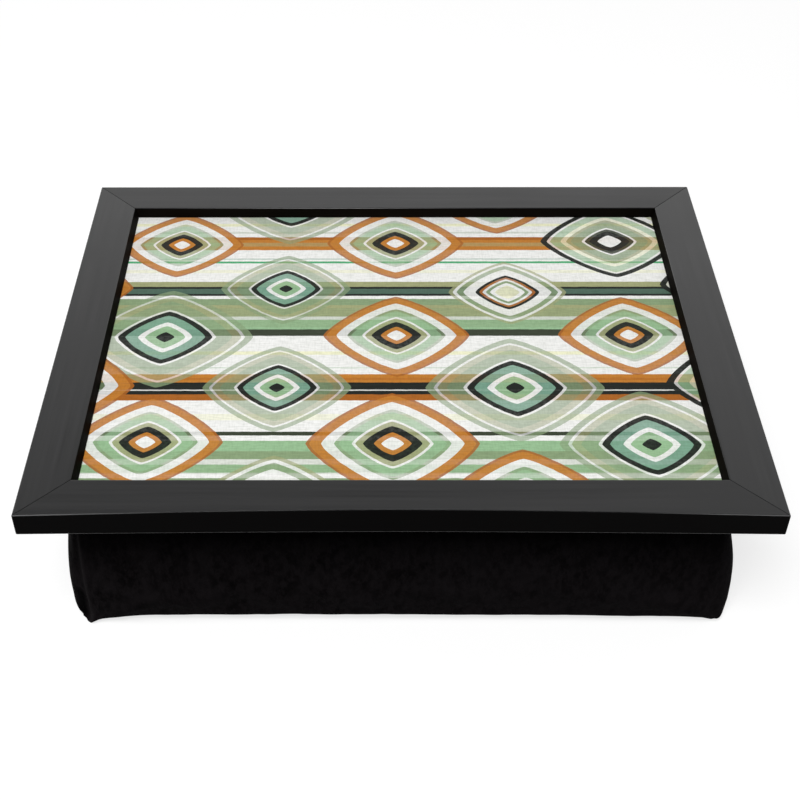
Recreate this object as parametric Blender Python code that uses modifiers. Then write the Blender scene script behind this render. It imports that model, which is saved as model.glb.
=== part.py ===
"""Cushioned lap tray: a mitred black frame round a panel, on a bead-filled cushion.

Lengths are metres, +Z is up, and the front of the tray faces -Y. The cushion stands on z = 0.
The tray is peeled straight up off the cushion, so its pieces hang from one empty on that axis.
"""

import math

import bmesh
import bpy
from mathutils import Matrix, Vector

MM = 0.001

# The gap that a piece keeps to what it rests on or fits in, and the overrun of every cutter
FIT_GAP = 0.3 * MM
OVERRUN = 5 * MM

# Frame moulding
TRAY_WIDTH = 440 * MM
TRAY_DEPTH = 340 * MM
RAIL_WIDTH = 29 * MM
RAIL_HEIGHT = 16 * MM
LIP_WIDTH = 6 * MM
LIP_THICKNESS = 6.5 * MM
LIP_SLOPE = 2.3 * MM
OUTER_ROUND = 1 * MM
INNER_ROUND = 0.8 * MM
ROUND_STEPS = 3

# The front rail's outer face is hollow in plan, more at its top edge than at its bottom edge
FRONT_HOLLOW_TOP = 4.6 * MM
FRONT_HOLLOW_BOTTOM = 2.1 * MM
HOLLOW_POWER = 1.6
HOLLOW_STATIONS = 16

# Panel let into the frame's rebate from below
LAMINATE_THICKNESS = 0.8 * MM
BOARD_THICKNESS = 3 * MM
PANEL_CLEARANCE = 0.8 * MM

# V nails driven into each mitre from below
NAIL_HEIGHT = 10 * MM
NAIL_LEG = 5 * MM
NAIL_THICKNESS = 0.8 * MM
NAIL_HALF_ANGLE = math.radians(50)
OUTER_NAIL_INSET = 7 * MM
INNER_NAIL_INSET = 15 * MM

# Flat points pressed into the rebate's wall to hold the board up
POINT_LENGTH = 15 * MM
POINT_BITE = 6 * MM
POINT_WIDTH = 5.5 * MM
POINT_TAPER = 3 * MM
POINT_THICKNESS = 0.6 * MM
LONG_RAIL_POINT_SHARES = (-0.7, 0.0, 0.7)
SHORT_RAIL_POINT_SHARES = (-0.5, 0.5)

# Hook strips under the board and loop strips on the cushion
STRIP_THICKNESS = 1.2 * MM
STRIP_WIDTH = 20 * MM
LONG_STRIP_LENGTH = 200 * MM
SHORT_STRIP_LENGTH = 120 * MM
STRIP_INSET = 45 * MM

# Cushion: its seams are smaller at the top, so that it nests in the frame's rebate
CLOTH = 1.2 * MM
FILL_CLEARANCE = 1.2 * MM
SEAM_GAP = 0.6 * MM
CUSHION_HEIGHT = 98 * MM
CUSHION_TOP_WIDTH = 380 * MM
CUSHION_TOP_DEPTH = 280 * MM
CUSHION_BASE_WIDTH = 385 * MM
CUSHION_BASE_DEPTH = 300 * MM
TOP_CROWN = 2.5 * MM
BASE_CROWN = 3.5 * MM
FLAT_CUT = 0.5 * MM
WALL_BULGE = 16 * MM
EAR_REACH = 5 * MM
EAR_DROP = 2.5 * MM
CROWN_FLATNESS = 10
CORNER_BULGE_SHARE = 0.75
CORNER_SHARPNESS = 20

# Loop cuts of the cushion's cage, as shares of its half width, half depth and height
WIDTH_SHARES = (-0.94, -0.75, -0.4, 0.0, 0.4, 0.75, 0.94)
DEPTH_SHARES = (-0.92, -0.5, 0.0, 0.5, 0.92)
HEIGHT_SHARES = (0.1, 0.4, 0.72)

# How far the wall stands out at each of those heights, from the base seam to the top seam
BULGE_SHARES = {0.0: 0.0, 0.1: 1.0, 0.4: 1.0, 0.72: 0.74, 1.0: 0.0}

# Heights in the tray, counted up from the frame's underside
LIP_UNDERSIDE = RAIL_HEIGHT - LIP_THICKNESS
LAMINATE_TOP = LIP_UNDERSIDE - FIT_GAP
BOARD_TOP = LAMINATE_TOP - LAMINATE_THICKNESS - FIT_GAP
BOARD_UNDERSIDE = BOARD_TOP - BOARD_THICKNESS
HOOK_TOP = BOARD_UNDERSIDE - FIT_GAP
POINT_TOP = BOARD_UNDERSIDE - FIT_GAP

# Heights of the cushion and what stands on it, counted up from the floor
BASE_SEAM = BASE_CROWN - FLAT_CUT
TOP_SEAM = CUSHION_HEIGHT - TOP_CROWN
LOOP_BOTTOM = CUSHION_HEIGHT + FIT_GAP
HOOK_BOTTOM = LOOP_BOTTOM + STRIP_THICKNESS + FIT_GAP
FRAME_UNDERSIDE = HOOK_BOTTOM + STRIP_THICKNESS - HOOK_TOP

# Plan sizes that follow from the moulding
REBATE_INSET = RAIL_WIDTH - LIP_WIDTH
REBATE_WIDTH = TRAY_WIDTH - 2 * REBATE_INSET
REBATE_DEPTH = TRAY_DEPTH - 2 * REBATE_INSET

# Base colour, roughness and metallic value of each kind of surface
LACQUER = ((0.012, 0.012, 0.013), 0.34, 0.0)
PRINT = ((0.62, 0.66, 0.55), 0.5, 0.0)
HARDBOARD = ((0.23, 0.13, 0.07), 0.8, 0.0)
STEEL = ((0.55, 0.55, 0.56), 0.35, 1.0)
TAPE = ((0.02, 0.02, 0.021), 0.95, 0.0)
BRUSHED_CLOTH = ((0.014, 0.012, 0.014), 0.95, 0.0)
BEADS = ((0.85, 0.85, 0.84), 0.7, 0.0)


def new_collection(name):
    """Return a new collection of the scene."""
    collection = bpy.data.collections.new(name)
    bpy.context.scene.collection.children.link(collection)
    return collection


def new_empty(name, height, collection):
    """Return an empty on the tray's centre line, at a height above the floor."""
    empty = bpy.data.objects.new(name, None)
    empty.location.z = height
    collection.objects.link(empty)
    return empty


def put(obj, look, parent, collection):
    """Give a piece its own material, its parent and its collection."""
    colour, roughness, metallic = look
    material = bpy.data.materials.new(obj.name)
    material.use_nodes = True
    shader = material.node_tree.nodes["Principled BSDF"]
    shader.inputs["Base Color"].default_value = (*colour, 1.0)
    shader.inputs["Roughness"].default_value = roughness
    shader.inputs["Metallic"].default_value = metallic
    material.diffuse_color = (*colour, 1.0)
    obj.data.materials.append(material)
    obj.parent = parent
    collection.objects.link(obj)
    return obj


def mesh_object(name, bm):
    """Turn a bmesh into an object that isn't linked yet."""
    mesh = bpy.data.meshes.new(name)
    bm.to_mesh(mesh)
    bm.free()
    return bpy.data.objects.new(name, mesh)


def block(name, size, centre):
    """A box of a given size round a centre."""
    bm = bmesh.new()
    bmesh.ops.create_cube(bm, size=1)
    bmesh.ops.scale(bm, vec=size, verts=bm.verts)
    obj = mesh_object(name, bm)
    obj.location = centre
    return obj


def use_as_cutter(obj, parent, cutters):
    """Hide a shape from renders and keep it for cutting only."""
    obj.parent = parent
    obj.hide_render = True
    obj.display_type = "WIRE"
    cutters.objects.link(obj)
    return obj


def cut(obj, cutter):
    """Take a cutter's shape out of a piece."""
    boolean = obj.modifiers.new(cutter.name, "BOOLEAN")
    boolean.operation = "DIFFERENCE"
    boolean.object = cutter


def arc(centre, radius, start_degrees):
    """Points of a quarter circle, turning counter-clockwise from a start angle."""
    points = []
    for step in range(ROUND_STEPS + 1):
        angle = math.radians(start_degrees + 90 * step / ROUND_STEPS)
        x = centre[0] + radius * math.cos(angle)
        y = centre[1] + radius * math.sin(angle)
        points.append((x, y))
    return points


def rail_section(hollow_share):
    """The moulding's section as (inset from the outer face, height) points.

    The lip's inner wall slopes down towards the panel. The share says how much of the front
    rail's hollow this section has.
    """
    bottom_shift = FRONT_HOLLOW_BOTTOM * hollow_share
    top_shift = FRONT_HOLLOW_TOP * hollow_share
    bottom_centre = (OUTER_ROUND + bottom_shift, OUTER_ROUND)
    top_centre = (OUTER_ROUND + top_shift, RAIL_HEIGHT - OUTER_ROUND)
    inner_centre = (RAIL_WIDTH - INNER_ROUND, RAIL_HEIGHT - INNER_ROUND)
    rebate = [
        (REBATE_INSET, 0),
        (REBATE_INSET, LIP_UNDERSIDE),
        (RAIL_WIDTH + LIP_SLOPE, LIP_UNDERSIDE),
    ]
    bottom = arc(bottom_centre, OUTER_ROUND, 180)
    inner = arc(inner_centre, INNER_ROUND, 0)
    top = arc(top_centre, OUTER_ROUND, 90)
    return bottom + rebate + inner + top


def rail(name, length, stations, hollow):
    """A length of moulding along X with both ends mitred; its outer face is at y = 0.

    It is lofted through its sections, because the front rail's sections differ. A point's
    distance from the outer face is also what the mitre takes off its end.
    """
    bm = bmesh.new()
    half_gap = FIT_GAP / 2 / math.sin(math.pi / 4)
    rings = []
    for station in range(stations + 1):
        share = 2 * station / stations - 1
        hollow_share = hollow * (1 - abs(share) ** HOLLOW_POWER)
        ring = []
        for inset, height in rail_section(hollow_share):
            x = share * (length / 2 - inset - half_gap)
            ring.append(bm.verts.new((x, inset, height)))
        rings.append(ring)
    for ring, following in zip(rings, rings[1:]):
        for index, vertex in enumerate(ring):
            before = index - 1
            bm.faces.new((vertex, ring[before], following[before], following[index]))
    bm.faces.new(rings[0])
    bm.faces.new(rings[-1])
    bmesh.ops.recalc_face_normals(bm, faces=bm.faces)
    return mesh_object(name, bm)


def v_plate(name, leg, thickness, low, high):
    """A V of sheet metal with its point at the origin and its legs opening along +X."""
    tip_x = leg * math.cos(NAIL_HALF_ANGLE)
    tip_y = leg * math.sin(NAIL_HALF_ANGLE)
    bm = bmesh.new()
    path = [(tip_x, -tip_y, low), (0, 0, low), (tip_x, tip_y, low)]
    verts = [bm.verts.new(point) for point in path]
    edges = [bm.edges.new(pair) for pair in zip(verts, verts[1:])]
    extruded = bmesh.ops.extrude_edge_only(bm, edges=edges)["geom"]
    raised = [item for item in extruded if isinstance(item, bmesh.types.BMVert)]
    bmesh.ops.translate(bm, vec=(0, 0, high - low), verts=raised)
    obj = mesh_object(name, bm)
    solidify = obj.modifiers.new("sheet", "SOLIDIFY")
    solidify.thickness = thickness
    solidify.offset = 0
    solidify.use_even_offset = True
    return obj


def make_nails(corner, signs, tray, pieces, cutters):
    """The two V nails of one mitre, and the slots that they fill in the rails."""
    slots = []
    turn = math.atan2(-signs[1], -signs[0])
    for place, inset in (("outer", OUTER_NAIL_INSET), ("inner", INNER_NAIL_INSET)):
        name = "mitre_nail_" + corner + "_" + place
        nail = v_plate(name, NAIL_LEG, NAIL_THICKNESS, FIT_GAP, NAIL_HEIGHT)
        slot = v_plate(
            name + "_slot",
            NAIL_LEG + FIT_GAP,
            NAIL_THICKNESS + 2 * FIT_GAP,
            -OVERRUN,
            NAIL_HEIGHT + FIT_GAP,
        )
        for obj in (nail, slot):
            obj.location.x = signs[0] * (TRAY_WIDTH / 2 - inset)
            obj.location.y = signs[1] * (TRAY_DEPTH / 2 - inset)
            obj.rotation_euler.z = turn
        put(nail, STEEL, tray, pieces)
        slots.append(use_as_cutter(slot, tray, cutters))
    return slots


def point_plate(name):
    """A flat framer's point: its nose is in the rail, at y = 0, and it reaches along +Y."""
    half = POINT_WIDTH / 2
    outline = [
        (0, 0),
        (half, POINT_TAPER),
        (half, POINT_LENGTH),
        (-half, POINT_LENGTH),
        (-half, POINT_TAPER),
    ]
    curve = bpy.data.curves.new(name, "CURVE")
    curve.dimensions = "2D"
    curve.fill_mode = "BOTH"
    curve.extrude = POINT_THICKNESS / 2
    spline = curve.splines.new("POLY")
    spline.points.add(len(outline) - 1)
    for point, (x, y) in zip(spline.points, outline):
        point.co = (x, y, 0, 1)
    spline.use_cyclic_u = True
    return bpy.data.objects.new(name, curve)


def make_points(side, shares, half_length, base, turn, tray, pieces, cutters):
    """The points of one rail, spaced along its rebate, and the slots that they fill."""
    slots = []
    nose = REBATE_INSET - POINT_BITE
    height = POINT_TOP - POINT_THICKNESS / 2
    slot_size = (
        POINT_WIDTH + 2 * FIT_GAP,
        POINT_BITE + FIT_GAP + OVERRUN,
        POINT_THICKNESS + 2 * FIT_GAP,
    )
    slot_middle = nose - FIT_GAP + slot_size[1] / 2
    for number, share in enumerate(shares, start=1):
        name = f"framer_point_{side}_{number}"
        plate = point_plate(name)
        slot = block(name + "_slot", slot_size, (0, 0, 0))
        for obj, inset in ((plate, nose), (slot, slot_middle)):
            local = Vector((share * half_length, inset, height))
            obj.location = base + Matrix.Rotation(turn, 3, "Z") @ local
            obj.rotation_euler.z = turn
        put(plate, STEEL, tray, pieces)
        slots.append(use_as_cutter(slot, tray, cutters))
    return slots


def make_frame(tray, pieces, cutters):
    """The four rails with their nails and points."""
    corners = {
        "front_left": (-1, -1),
        "front_right": (1, -1),
        "back_right": (1, 1),
        "back_left": (-1, 1),
    }
    nail_slots = {}
    for corner, signs in corners.items():
        nail_slots[corner] = make_nails(corner, signs, tray, pieces, cutters)

    long_half = REBATE_WIDTH / 2
    short_half = REBATE_DEPTH / 2
    long_shares = LONG_RAIL_POINT_SHARES
    short_shares = SHORT_RAIL_POINT_SHARES
    half_width = TRAY_WIDTH / 2
    half_depth = TRAY_DEPTH / 2
    sides = (
        ("front", TRAY_WIDTH, long_half, long_shares, (0, -half_depth, 0), 0),
        ("right", TRAY_DEPTH, short_half, short_shares, (half_width, 0, 0), 90),
        ("back", TRAY_WIDTH, long_half, long_shares, (0, half_depth, 0), 180),
        ("left", TRAY_DEPTH, short_half, short_shares, (-half_width, 0, 0), 270),
    )
    for side, length, half_length, shares, place, degrees in sides:
        hollow = 1 if side == "front" else 0
        stations = HOLLOW_STATIONS if side == "front" else 1
        turn = math.radians(degrees)
        obj = rail(side + "_rail", length, stations, hollow)
        obj.location = place
        obj.rotation_euler.z = turn
        base = Vector(place)
        slots = make_points(side, shares, half_length, base, turn, tray, pieces, cutters)
        for corner, corner_slots in nail_slots.items():
            if side in corner:
                slots = slots + corner_slots
        put(obj, LACQUER, tray, pieces)
        for slot in slots:
            cut(obj, slot)


def make_panel(tray, pieces):
    """The printed laminate and the board behind it, both loose in the rebate."""
    width = REBATE_WIDTH - 2 * PANEL_CLEARANCE
    depth = REBATE_DEPTH - 2 * PANEL_CLEARANCE
    layers = (
        ("panel_laminate", LAMINATE_THICKNESS, LAMINATE_TOP, PRINT),
        ("panel_board", BOARD_THICKNESS, BOARD_TOP, HARDBOARD),
    )
    for name, thickness, top, look in layers:
        centre = (0, 0, top - thickness / 2)
        put(block(name, (width, depth, thickness), centre), look, tray, pieces)


def make_strips(kind, bottom, parent, pieces):
    """Four fastening strips, one along each side of the rebate."""
    x = REBATE_WIDTH / 2 - STRIP_INSET - STRIP_WIDTH / 2
    y = REBATE_DEPTH / 2 - STRIP_INSET - STRIP_WIDTH / 2
    long_size = (LONG_STRIP_LENGTH, STRIP_WIDTH, STRIP_THICKNESS)
    short_size = (STRIP_WIDTH, SHORT_STRIP_LENGTH, STRIP_THICKNESS)
    middle = bottom + STRIP_THICKNESS / 2
    strips = (
        ("front", long_size, (0, -y, middle)),
        ("back", long_size, (0, y, middle)),
        ("left", short_size, (-x, 0, middle)),
        ("right", short_size, (x, 0, middle)),
    )
    for side, size, centre in strips:
        put(block(kind + "_strip_" + side, size, centre), TAPE, parent, pieces)


def wall_reach(share):
    """How much of its bulge a wall has at a share of its half length: less at a corner."""
    return 1 - (1 - CORNER_BULGE_SHARE) * abs(share) ** CORNER_SHARPNESS


def bag_point(s, t, h):
    """Place of a cage point, from its shares of half width, half depth and height."""
    base_share = 1 - h
    half_width = (CUSHION_BASE_WIDTH * base_share + CUSHION_TOP_WIDTH * h) / 2
    half_depth = (CUSHION_BASE_DEPTH * base_share + CUSHION_TOP_DEPTH * h) / 2
    height_share = min(BULGE_SHARES, key=lambda share: abs(share - h))
    bulge = WALL_BULGE * BULGE_SHARES[height_share]
    end_s = s if abs(s) == 1 else 0
    end_t = t if abs(t) == 1 else 0
    x = half_width * s + bulge * wall_reach(t) * end_s
    y = half_depth * t + bulge * wall_reach(s) * end_t
    z = BASE_SEAM * base_share + TOP_SEAM * h
    crown_share = (1 - abs(s) ** CROWN_FLATNESS) * (1 - abs(t) ** CROWN_FLATNESS)
    if h == 1:
        z += TOP_CROWN * crown_share
    if h == 0:
        z -= BASE_CROWN * crown_share
        if end_s and end_t:
            x += EAR_REACH * end_s
            y += EAR_REACH * end_t
            z -= EAR_DROP
    return Vector((x, y, z))


def cushion_cage(name, keep, eared):
    """The bag as a cube with loop cuts, of which the faces at some heights are kept.

    The keep function is given the lowest and highest height share of a face. An eared cage
    keeps the points of its seams' corners when it is rounded.
    """
    bm = bmesh.new()
    bmesh.ops.create_cube(bm, size=2)
    bmesh.ops.translate(bm, vec=(0, 0, 1), verts=bm.verts)
    bmesh.ops.scale(bm, vec=(1, 1, 0.5), verts=bm.verts)
    for axis, shares in enumerate((WIDTH_SHARES, DEPTH_SHARES, HEIGHT_SHARES)):
        for share in shares:
            place = Vector((0, 0, 0))
            normal = Vector((0, 0, 0))
            place[axis] = share
            normal[axis] = 1
            everything = bm.verts[:] + bm.edges[:] + bm.faces[:]
            bmesh.ops.bisect_plane(bm, geom=everything, plane_co=place, plane_no=normal)
    dropped = []
    for face in bm.faces:
        heights = [vertex.co.z for vertex in face.verts]
        if not keep(min(heights), max(heights)):
            dropped.append(face)
    bmesh.ops.delete(bm, geom=dropped, context="FACES")
    crease = bm.verts.layers.float.new("crease_vert")
    for vertex in bm.verts:
        s, t, h = vertex.co
        if eared and abs(s) == 1 and abs(t) == 1 and h in (0, 1):
            vertex[crease] = 1
        vertex.co = bag_point(s, t, h)
    return mesh_object(name, bm)


def smooth_cage(obj):
    """Round a cage once, and keep the corners of an open one."""
    subdivision = obj.modifiers.new("rounding", "SUBSURF")
    subdivision.levels = 1
    subdivision.render_levels = 1
    subdivision.boundary_smooth = "PRESERVE_CORNERS"
    obj.data.shade_smooth()


def make_cloth(obj, cushion, pieces):
    """Give a cushion panel its thickness, inward from its outer face."""
    smooth_cage(obj)
    solidify = obj.modifiers.new("cloth", "SOLIDIFY")
    solidify.thickness = CLOTH
    solidify.offset = -1
    solidify.use_even_offset = True
    return put(obj, BRUSHED_CLOTH, cushion, pieces)


def trim_rims(obj):
    """Draw a wall's open rims in, so that both panels' cloth fits over its ends."""
    middle = (BASE_SEAM + TOP_SEAM) / 2
    uses = [0] * len(obj.data.vertices)
    for polygon in obj.data.polygons:
        for index in polygon.vertices:
            uses[index] += 1
    for vertex, faces_round_it in zip(obj.data.vertices, uses):
        if faces_round_it == 2:
            upward = 1 if vertex.co.z < middle else -1
            vertex.co.z += upward * (CLOTH + SEAM_GAP)


def make_cushion(cushion, pieces, cutters):
    """The cushion's top, base and one-piece wall, and the beads that they hold."""
    top = cushion_cage("cushion_top", lambda low, high: low == 1, eared=True)
    make_cloth(top, cushion, pieces)

    base = cushion_cage("cushion_base", lambda low, high: high == 0, eared=True)
    make_cloth(base, cushion, pieces)
    floor_size = (
        CUSHION_BASE_WIDTH + 2 * (EAR_REACH + OVERRUN),
        CUSHION_BASE_DEPTH + 2 * (EAR_REACH + OVERRUN),
        OVERRUN,
    )
    floor_cutter = block("floor_cutter", floor_size, (0, 0, -OVERRUN / 2))
    cut(base, use_as_cutter(floor_cutter, cushion, cutters))

    wall = cushion_cage("cushion_wall", lambda low, high: low != high, eared=True)
    trim_rims(wall)
    make_cloth(wall, cushion, pieces)

    fill = cushion_cage("bead_fill", lambda low, high: True, eared=False)
    smooth_cage(fill)
    shrink = fill.modifiers.new("inside the cloth", "DISPLACE")
    shrink.strength = -(CLOTH + FILL_CLEARANCE)
    shrink.mid_level = 0
    put(fill, BEADS, cushion, pieces)


def make_lap_tray():
    """Clear the scene and build the whole part."""
    for obj in list(bpy.data.objects):
        bpy.data.objects.remove(obj)
    pieces = new_collection("cushioned_lap_tray")
    cutters = new_collection("cutters")
    cushion = new_empty("cushion_place", 0, pieces)
    tray = new_empty("tray_lift", FRAME_UNDERSIDE, pieces)
    make_cushion(cushion, pieces, cutters)
    make_strips("loop", LOOP_BOTTOM, cushion, pieces)
    make_strips("hook", HOOK_TOP - STRIP_THICKNESS, tray, pieces)
    make_panel(tray, pieces)
    make_frame(tray, pieces, cutters)


make_lap_tray()
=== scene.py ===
"""Dresses the cushioned lap tray: lacquered moulding, printed panel and bead cushion."""

import math
from itertools import product

import bmesh
import bpy
from mathutils import Matrix, Vector, kdtree, noise


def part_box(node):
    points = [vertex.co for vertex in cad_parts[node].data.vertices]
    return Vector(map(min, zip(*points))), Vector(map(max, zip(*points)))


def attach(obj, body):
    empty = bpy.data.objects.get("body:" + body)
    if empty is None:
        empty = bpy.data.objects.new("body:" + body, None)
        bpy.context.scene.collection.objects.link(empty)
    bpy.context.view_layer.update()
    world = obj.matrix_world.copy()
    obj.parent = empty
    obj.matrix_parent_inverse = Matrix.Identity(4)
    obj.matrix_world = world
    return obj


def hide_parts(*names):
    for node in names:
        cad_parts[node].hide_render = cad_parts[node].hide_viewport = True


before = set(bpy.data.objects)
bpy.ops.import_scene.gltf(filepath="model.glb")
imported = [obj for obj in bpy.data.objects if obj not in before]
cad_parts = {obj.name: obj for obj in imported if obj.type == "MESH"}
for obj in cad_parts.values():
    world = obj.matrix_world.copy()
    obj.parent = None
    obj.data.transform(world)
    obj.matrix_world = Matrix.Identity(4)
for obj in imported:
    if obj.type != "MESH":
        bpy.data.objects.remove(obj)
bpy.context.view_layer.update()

MM = 0.001
SIDES = ("front", "right", "back", "left")
LONG_SIDES = ("front", "back")

# Where the photograph was taken from, in metres and degrees
CAMERA_PLACE = (-0.014369, -0.697815, 0.667576)
CAMERA_PITCH = 41.568
CAMERA_YAW = 0.263
CAMERA_ROLL = -0.187
LENS_MM = 60.919
SENSOR_MM = 36
SHIFT_SHARE = 0.0368

# Moulding: its outer size comes from the frame
LIP_WIDTH = 6 * MM
LIP_THICKNESS = 6.5 * MM
LIP_SLOPE = 2.3 * MM
UPPER_ROUND = 0.65 * MM
LOWER_ROUND = 1.1 * MM
INNER_ROUND = 0.8 * MM
LOWER_LIP_ROUND = 0.3 * MM
ROUND_STEPS = 6
FLAT_GUARD = 0.15 * MM
MITRE_GAP = 0.12 * MM
MITRE_BEVEL = 0.22 * MM
SLOT_CLEARANCE = 0.08 * MM
SLOT_DEPTH = 2 * MM
WELD = 0.001 * MM
SHARP_DEGREES = 40
FRONT_HOLLOW_TOP = 4.6 * MM
FRONT_HOLLOW_BOTTOM = 2.1 * MM
HOLLOW_POWER = 1.6
HOLLOW_STATIONS = 40

# Finishes of the moulding's faces, told apart by the upright or lengthwise part of the normal
FINISHES = ("foil", "edge", "upper arris", "lower arris", "sight edge")
ARRIS_SLOPES = (0.35, 0.85)
WALL_SLOPE = 0.5
END_SLOPE = 0.3
UNDERSIDE_SLOPE = 0.99

# Bead cushion: the sizes of its seams, and how its wall stands out between them
BASE_SEAM = 3 * MM
TOP_SEAM = 95.5 * MM
TOP_PANEL = (380 * MM, 280 * MM)
BASE_PANEL = (393 * MM, 296 * MM)
SIDE_BULGES = {-1: 11.1 * MM, 1: 9.4 * MM}
FRONT_BULGE = 9.5 * MM
BULGE_POWER = 0.486
BULGE_FULLNESS = 0.5
SEAM_CORNER_SHARE = 0.95
SEAM_SET_BACK = (-0.35, 0.43)
PLAIN_CORNER_SHARES = (0.85, 0.85)
CORNER_SHARPNESS = 14
SEAM_CORNER_SHARPNESS = 22
SEAM_CORNER_RADIUS = 3 * MM
PLAIN_CORNER_RADIUS = 12 * MM
PANEL_CORNER_RADIUS = 4 * MM
CROWN_FLATNESS = 10
EAR_REACH = (0.8 * MM, 5.5 * MM)
SEAM_EAR_REACH = (-1.0 * MM, 8 * MM)
EAR_DROP = 2.6 * MM
EAR_SHARPNESS = 30
EAR_SPREAD = 9
# How soon the ears and the waves of the foot fade above the base, as a share of the height
EAR_FADE = 0.03
EAR_TIP = 1.5 * MM
EAR_TIP_SIZE = 5 * MM
# The base's corners are pulled out aside and down by these shares of how far they go to front
# or back
TIP_ASIDE = 0.2
TIP_DROP = 0.3
POCKET_REACH = 40 * MM
RIDGE_CREST_LEVEL = 0.85
POCKET_TOP = 29 * MM
POCKET_EDGE = 4 * MM
# The fold's painted shade fades out over the first range of distances behind the seam, the toe over
# the second
POCKET_FADE = (8 * MM, 30 * MM)
TOE_FADE = (14 * MM, 36 * MM)
GUTTER_PLACE = 1.8 * MM
GUTTER_WIDTH = 1.4 * MM
GUTTER_DEPTH = 1.2 * MM
TOE_REACH = 4.2 * MM
TOE_FORWARD = 0.2
TOE_RUN = 6 * MM
TOE_SPREAD = 8 * MM
BASE_LEAN = 1.5 * MM
# The base's front seam wavers: each wave's middle and width as shares of the half width
# with how far it goes back
FOOT_WAVES = ((-0.8, 0.12, 1.5 * MM), (0.0, 0.15, 0.7 * MM), (0.78, 0.25, -1.2 * MM))
TOP_LEAN = 0.5 * MM
CUSHION_MESH = 5 * MM
LAYER_POWER = 1.3
SEAM_CREASE = 0.7
SEAM_ALLOWANCE = 2.2 * MM
SEAM_STEPS = 8
SEAM_PROFILE = 0.6
SEAM_WIDTH = 1.15 * MM
SEAM_RIDGE = 0.6 * MM
SEAM_GROOVE = 0.4 * MM
GROOVE_PLACE = 2.5 * SEAM_WIDTH
PUCKER_REACH = 9 * MM
PUCKER_HEIGHT = 0.35 * MM
PUCKER_LENGTH = 9 * MM
UNDULATION = 0.5 * MM
# Lengths of the unevenness that the beads leave, each with its share
BEAD_WAVES = ((45 * MM, 1.0), (16 * MM, 0.4))

CUSHION_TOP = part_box("cushion_top")[1].z

# Blowing the cushion up with simulated cloth
CLOTH_FRAMES = 20
SWELL_LIMIT = 6 * MM
CLOTH_SETTINGS = {
    "quality": 6,
    "mass": 0.2,
    "tension_stiffness": 20,
    "compression_stiffness": 20,
    "shear_stiffness": 8,
    "bending_stiffness": 0.4,
    "use_pressure": True,
    "uniform_pressure_force": 4,
    "shrink_min": -0.012,
    "shrink_max": -0.012,
}

# Hook and loop tape
TAPE_THICKNESS = 0.6 * MM
TAPE_SEAT = 0.2 * MM
TAPE_CORNER = 0.8 * MM
TAPE_RIM = 0.2 * MM
SELVEDGE = 1.8 * MM
PILE_PITCH = 1.5 * MM
PILE_JITTER_SHARE = 0.3
STITCH_PITCH = 2.6 * MM
STITCH_THREAD = 0.2 * MM
STITCH_INSET = 1.1 * MM
STITCH_HALF_SHARE = 0.38
STITCH_RISE = 2.4
# Each kind's body, thread radius and swing, then its threads' peak and tip, whose heights are
# shares of the pile's height
TAPES = {
    "hook": ("tray", 0.13 * MM, 0.35, (0.15 * MM, 0, 1.9), (0.75 * MM, 0, 0.35)),
    "loop": ("cushion", 0.09 * MM, math.pi, (0.55 * MM, 0.25 * MM, 1.8), (1.1 * MM, 0.1 * MM, 0)),
}

# Studio: each range of the room's light is two places along a direction, then the strength
# at each of them
FLOOR_HALF = 6.0
FLOOR_TONE = 0.32
FLOOR_LIFT = 0.74
ROOM_SKEW = 0.34
ROOM_FALL = (0.45, 0.768, 1.6, 0.15)
ROOM_DEPTH = (-0.3, 0.6, 0.08, 1.04)
ROOM_SIDE = (-0.9, 0.9, 1.5, 0.5)
LAMP_SIZE = 1.3
LAMP_PLACE = (-0.5, -1.2, 2.5)
LAMP_POWER = 68

# Colours of the print's inks and of its bare paper
PAPER = (0.89, 0.89, 0.87)
LEMON = (0.88, 0.88, 0.62)
MINT = (0.31, 0.51, 0.29)
SAGE = (0.25, 0.35, 0.19)
TEAL = (0.19, 0.37, 0.27)
KHAKI = (0.36, 0.38, 0.19)
OLIVE = (0.038, 0.05, 0.028)
INK = (0.008, 0.011, 0.008)
AMBER = (0.54, 0.2, 0.022)
RUST = (0.4, 0.12, 0.01)
BRIGHT_GREEN = (0.08, 0.42, 0.18)

# Moulding: where its arrises carry the most painted highlight, and over what length it grows
GLINT_CORNER = (205 * MM, 155 * MM)
GLINT_LENGTH = 75 * MM
# Each arris's specular level with its plain tone and its lighter tone near the corners, a painted
# highlight
UPPER_ARRIS = (0.04, (0.008, 0.008, 0.0083), (0.15, 0.15, 0.152))
LOWER_ARRIS = (0.75, (0.014, 0.014, 0.0143), (0.03, 0.03, 0.0305))
# Dark, light and grainy tones of the upright faces and underside, darker than the foil: painted shade
# on the upright faces
EDGE_SHADE_TONES = ((0.0011, 0.001, 0.001), (0.002, 0.0018, 0.0018), (0.0026, 0.0024, 0.0024))
SIGHT_EDGE_SHADE_TONES = ((0.003, 0.0022, 0.0017), (0.0042, 0.0031, 0.0023), (0.005, 0.0037, 0.0028))
# Each foil's name, specular level, how much its bands show and how its streaks are stretched
LONG_FOIL = ("satin_foil_long", 0.47, 0.4, (6, 260, 260))
SHORT_FOIL = ("satin_foil_short", 0.565, 0.15, (260, 6, 260))


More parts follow.
